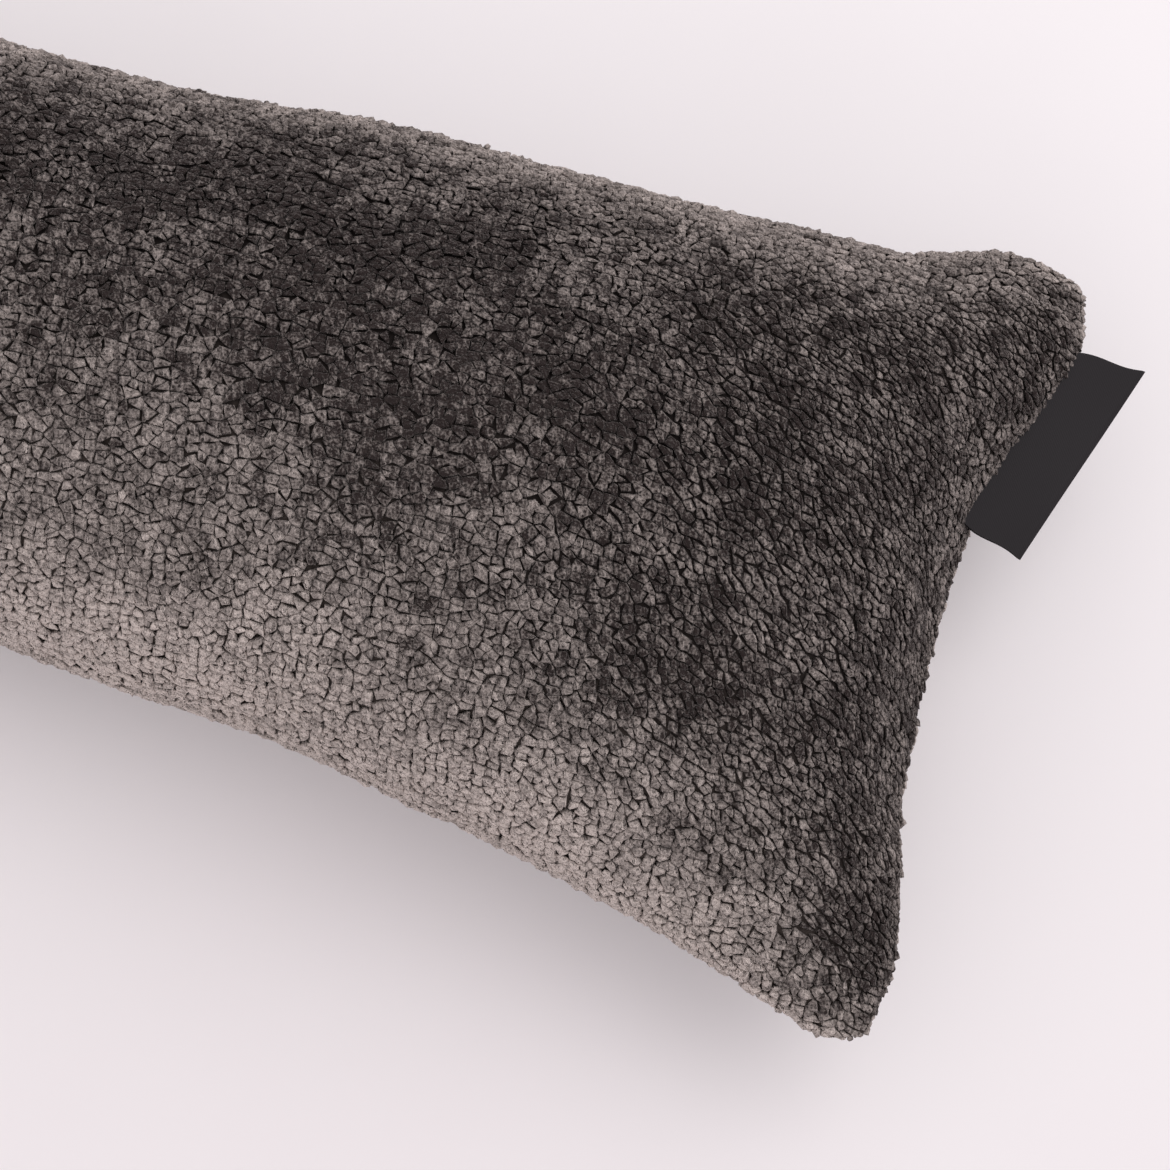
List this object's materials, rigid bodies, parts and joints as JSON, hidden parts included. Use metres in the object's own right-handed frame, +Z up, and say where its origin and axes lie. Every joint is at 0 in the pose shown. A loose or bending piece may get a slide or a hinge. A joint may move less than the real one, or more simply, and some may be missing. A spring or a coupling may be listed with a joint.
{
  "type": "draught excluder",
  "caption": "Long stuffed cushion of deep-pile chenille that lies along the foot of a door, with a folded plain label sewn into one end seam.",
  "frame": {"origin": "on the surface it lies on, under the middle of the cushion", "axes": "+X along the cushion to the end with the label, +Y to the back, +Z up"},
  "size_m": [0.897, 0.1926, 0.1062],
  "materials": {
    "chenille": "grey-brown chenille with a dense short pile gathered into small tufts",
    "label_satin": "black satin-woven ribbon, plain"
  },
  "bodies": {
    "root": {"cushion": "chenille", "label": "label_satin"}
  },
  "joints": []
}
